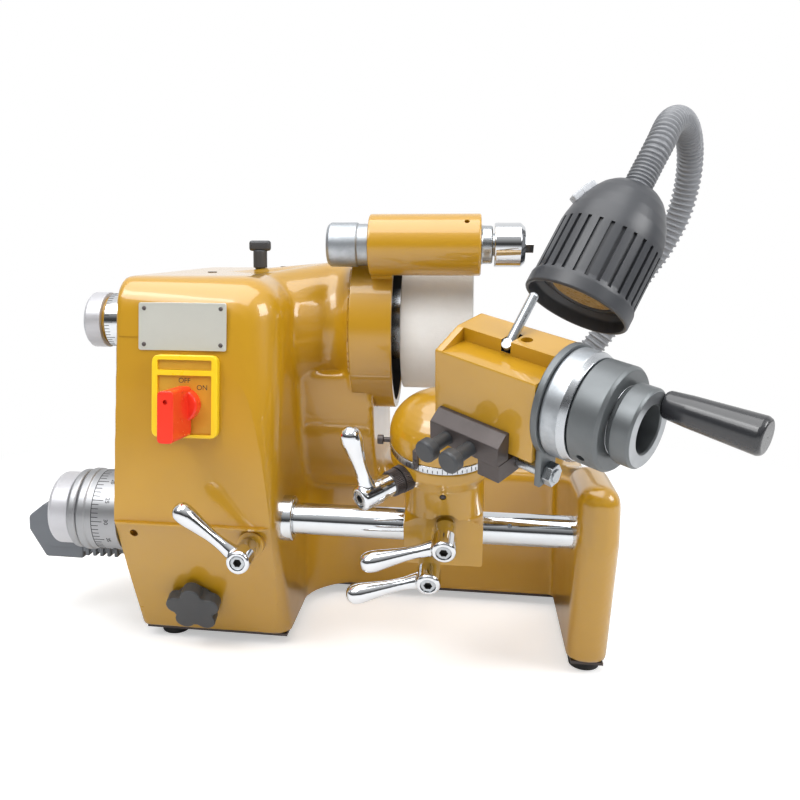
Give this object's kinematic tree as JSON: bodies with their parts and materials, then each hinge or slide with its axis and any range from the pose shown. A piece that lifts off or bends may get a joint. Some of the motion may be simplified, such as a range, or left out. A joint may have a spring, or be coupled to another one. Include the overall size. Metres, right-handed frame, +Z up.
{
  "type": "tool and cutter grinder",
  "caption": "Bench tool and cutter grinder: a cup wheel on a sliding quill, a swivelling work head with collet on a guide bar, a wheel dresser and a gooseneck lamp.",
  "frame": {"origin": "on the bench, below the wheel spindle axis, midway along the width of the base casting", "axes": "+X along the wheel spindle towards the wheel, +Y to the back of the machine, +Z up"},
  "size_m": [0.5363, 0.3572, 0.406],
  "materials": {
    "yellow_casting": "gloss enamel",
    "steel": "ground",
    "chrome": "polished plating",
    "alloy": "satin",
    "black_steel": "blackened, satin",
    "stop_steel": "darkened",
    "rubber": "matte",
    "black_plastic": "moulded",
    "red_plastic": "glossy",
    "switch_yellow": "glossy",
    "grey_plastic": "moulded",
    "pearl_plastic": "satin",
    "lamp_grey": "satin",
    "lamp_reflector": "mirrored behind clear glass",
    "abrasive": "open grain",
    "motor_grey": "satin"
  },
  "bodies": {
    "base": {"base_casting": "yellow_casting", "bottom_cover": "black_steel", "feet": "rubber", "foot_screws": "steel", "name_plate": "alloy", "plate_rivets": "steel", "wheel_guard": "yellow_casting", "motor_body": "motor_grey", "motor_bracket": "steel", "drive_belt": "rubber", "switch_frame": "switch_yellow", "switch_body": "black_plastic", "power_inlet": "grey_plastic", "feed_barrel": "alloy", "dresser_bracket": "yellow_casting", "lamp_base": "black_steel", "gooseneck": "black_steel", "lamp_housing": "lamp_grey", "lamp_lens": "lamp_reflector"},
    "quill": {"quill": "steel", "spindle_bearings": "steel"},
    "wheel_spindle": {"spindle_shaft": "steel", "spindle_pulley": "alloy", "wheel_flange": "steel", "grinding_wheel": "abrasive", "wheel_nut": "steel"},
    "rotor": {"motor_shaft": "steel", "motor_pulley": "alloy"},
    "quill_dial": {"quill_knob": "chrome"},
    "quill_lock": {"quill_lock_screw": "black_steel"},
    "tensioner": {"tension_knob": "black_plastic"},
    "switch": {"switch_knob": "red_plastic"},
    "feed_dial": {"feed_knob": "pearl_plastic"},
    "feed_carrier": {"feed_sleeve": "steel"},
    "bar": {"guide_bar": "chrome"},
    "bar_lock": {"bar_lock_lever": "chrome"},
    "carriage": {"carriage": "yellow_casting", "swivel_ring": "alloy", "swivel_pin": "steel"},
    "upper_lever": {"carriage_lever_upper": "chrome"},
    "lower_lever": {"carriage_lever_lower": "chrome"},
    "table_lever": {"swivel_lever": "chrome"},
    "workhead": {"workhead_housing": "yellow_casting", "stop_rail": "stop_steel", "stop_block": "stop_steel"},
    "work_carrier": {"stop_plate": "stop_steel", "stop_rod": "chrome"},
    "work_rotor": {"work_spindle": "steel", "collet": "steel", "index_ring": "alloy", "index_collar": "black_steel", "draw_collar": "black_steel", "crank_stud": "steel"},
    "handle": {"crank_handle": "black_plastic"},
    "indexer": {"index_lever": "chrome"},
    "thumb_left": {"thumb_screw_left": "stop_steel"},
    "thumb_right": {"thumb_screw_right": "stop_steel"},
    "dresser": {"dresser_shaft": "chrome", "dresser_cap": "chrome"},
    "lamp_rocker": {"lamp_switch": "pearl_plastic"}
  },
  "joints": [
    {"name": "quill_knob_turn", "type": "hinge", "parent": "base", "child": "quill_dial", "pos_m": [-0.2, 0, 0.239], "axis": [1, 0, 0], "range_deg": [-1080, 1080]},
    {"name": "quill_slide", "type": "slide", "parent": "base", "child": "quill", "axis": [1, 0, 0], "range_m": [-0.003, 0.003]},
    {"name": "wheel_spin", "type": "hinge", "parent": "quill", "child": "wheel_spindle", "pos_m": [0, 0, 0.239], "axis": [1, 0, 0], "continuous": true},
    {"name": "motor_spin", "type": "hinge", "parent": "base", "child": "rotor", "pos_m": [0, 0.072, 0.06], "axis": [1, 0, 0], "continuous": true},
    {"name": "quill_lock_turn", "type": "hinge", "parent": "base", "child": "quill_lock", "pos_m": [-0.0955, 0, 0.29], "axis": [0, 0, 1], "range_deg": [-180, 180]},
    {"name": "tension_knob_turn", "type": "hinge", "parent": "base", "child": "tensioner", "pos_m": [-0.123, -0.08948, 0.04186], "axis": [0, -0.9104, -0.4138], "range_deg": [-180, 180]},
    {"name": "switch_turn", "type": "hinge", "parent": "base", "child": "switch", "pos_m": [-0.1195, -0.1134, 0.19284], "axis": [0, 0.9969, -0.0785], "range_deg": [0, 45]},
    {"name": "feed_knob_turn", "type": "hinge", "parent": "base", "child": "feed_dial", "pos_m": [-0.215, -0.09, 0.107], "axis": [1, 0, 0], "range_deg": [-1440, 1440]},
    {"name": "feed_slide", "type": "slide", "parent": "base", "child": "feed_carrier", "axis": [1, 0, 0], "range_m": [-0.006, 0.006]},
    {"name": "bar_swing", "type": "hinge", "parent": "feed_carrier", "child": "bar", "pos_m": [0, -0.09, 0.107], "axis": [1, 0, 0], "range_deg": [-15, 20]},
    {"name": "bar_lock_turn", "type": "hinge", "parent": "base", "child": "bar_lock", "pos_m": [-0.074, -0.13, 0.0965], "axis": [0, 1, 0], "range_deg": [-40, 60]},
    {"name": "carriage_slide", "type": "slide", "parent": "bar", "child": "carriage", "axis": [1, 0, 0], "range_m": [-0.02, 0.02]},
    {"name": "upper_lever_turn", "type": "hinge", "parent": "carriage", "child": "upper_lever", "pos_m": [0.059, -0.12471, 0.11675], "axis": [0, 0.9511, 0.309], "range_deg": [0, 25]},
    {"name": "lower_lever_turn", "type": "hinge", "parent": "carriage", "child": "lower_lever", "pos_m": [0.049, -0.11637, 0.09107], "axis": [0, -0.9511, -0.309], "range_deg": [0, 45]},
    {"name": "swivel_lever_turn", "type": "hinge", "parent": "carriage", "child": "table_lever", "pos_m": [0.01507, -0.14766, 0.14715], "axis": [-0.7071, -0.6725, -0.2185], "range_deg": [0, 40]},
    {"name": "workhead_swivel", "type": "hinge", "parent": "carriage", "child": "workhead", "pos_m": [0.0575, -0.11194, 0.17453], "axis": [0, -0.309, 0.9511], "range_deg": [-20, 5]},
    {"name": "work_slide", "type": "slide", "parent": "workhead", "child": "work_carrier", "axis": [0.7986, -0.5724, -0.186], "range_m": [0, 0.013]},
    {"name": "work_spin", "type": "hinge", "parent": "work_carrier", "child": "work_rotor", "pos_m": [0.0575, -0.13064, 0.23206], "axis": [0.7986, -0.5724, -0.186], "continuous": true},
    {"name": "handle_spin", "type": "hinge", "parent": "work_rotor", "child": "handle", "pos_m": [0.17869, -0.20171, 0.21843], "axis": [0.7986, -0.5724, -0.186], "continuous": true},
    {"name": "index_turn", "type": "hinge", "parent": "workhead", "child": "indexer", "pos_m": [0.09502, -0.17201, 0.24522], "axis": [0.7986, -0.5724, -0.186], "range_deg": [-5, 12]},
    {"name": "thumb_left_turn", "type": "hinge", "parent": "workhead", "child": "thumb_left", "pos_m": [0.05456, -0.17954, 0.18715], "axis": [0.6018, 0.7595, 0.2468], "range_deg": [-180, 180]},
    {"name": "thumb_right_turn", "type": "hinge", "parent": "workhead", "child": "thumb_right", "pos_m": [0.06814, -0.18927, 0.18399], "axis": [0.6018, 0.7595, 0.2468], "range_deg": [-180, 180]},
    {"name": "dresser_turn", "type": "hinge", "parent": "base", "child": "dresser", "pos_m": [0, -0.05776, 0.30204], "axis": [1, 0, 0], "range_deg": [-60, 60]},
    {"name": "lamp_switch_rock", "type": "hinge", "parent": "base", "child": "lamp_rocker", "pos_m": [0.15129, -0.04592, 0.33836], "axis": [0.1615, -0.9486, 0.2723], "range_deg": [-8, 0]}
  ],
  "couplings": [
    {"joint": "quill_slide", "follows": "quill_knob_turn", "m_per_rad": 0.00015915},
    {"joint": "motor_spin", "follows": "wheel_spin", "ratio": 0.6},
    {"joint": "feed_knob_turn", "follows": "feed_slide", "rad_per_m": 4188.8}
  ]
}
